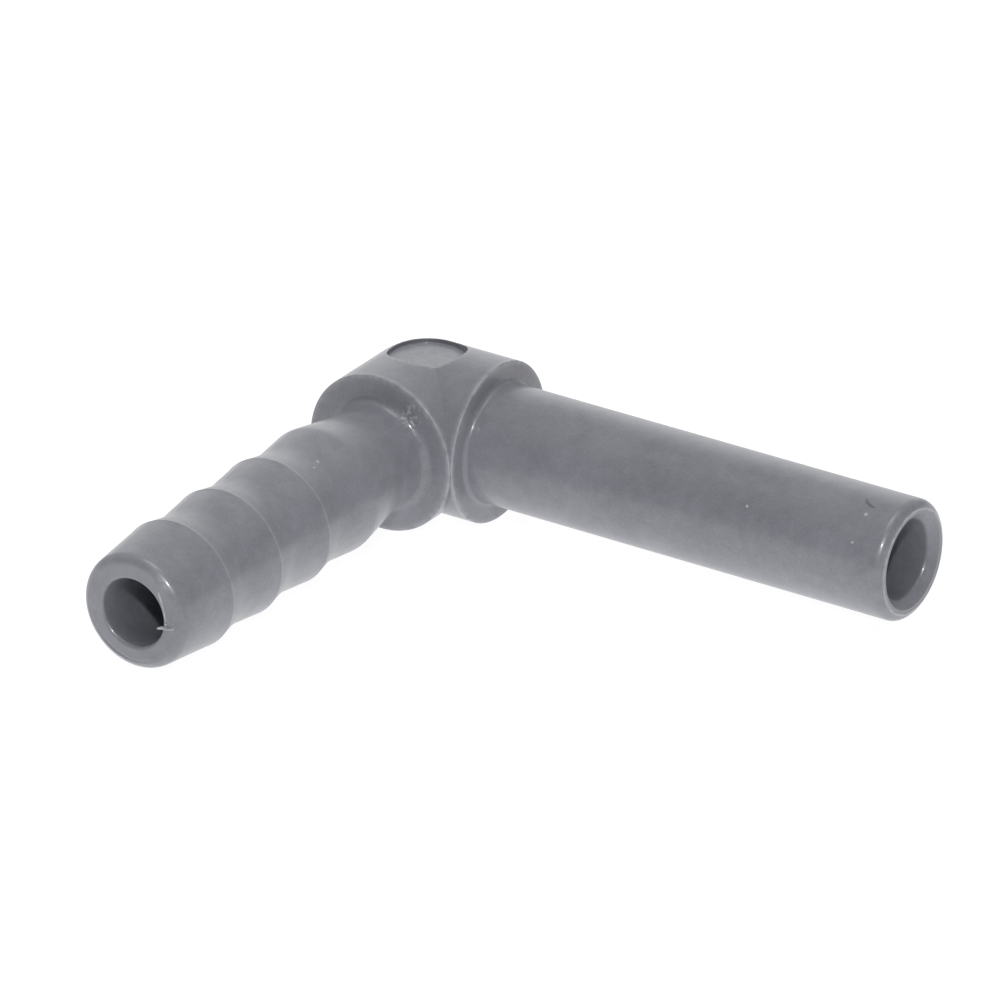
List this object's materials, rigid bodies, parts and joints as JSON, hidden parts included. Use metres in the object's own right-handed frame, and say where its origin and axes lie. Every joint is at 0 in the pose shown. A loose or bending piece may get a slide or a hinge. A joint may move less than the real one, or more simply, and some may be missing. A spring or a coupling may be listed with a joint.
{
  "type": "plug-in hose barb elbow",
  "caption": "Right-angle moulded elbow: a plain tube stem that plugs into a push-to-connect fitting, and a barbed tail for a push-on hose.",
  "frame": {"origin": "where the centrelines of the stem's bore and the tail's bore cross, in the middle of the hub", "axes": "+X along the plain stem, -Y along the barbed tail, +Z square to both, up through the round recess in the hub"},
  "size_m": [0.0503, 0.0455, 0.0128],
  "materials": {
    "grey_acetal": "semi-gloss moulded acetal"
  },
  "bodies": {
    "root": {"elbow_hub": "grey_acetal", "tube_stem": "grey_acetal", "hose_tail": "grey_acetal"}
  },
  "joints": []
}
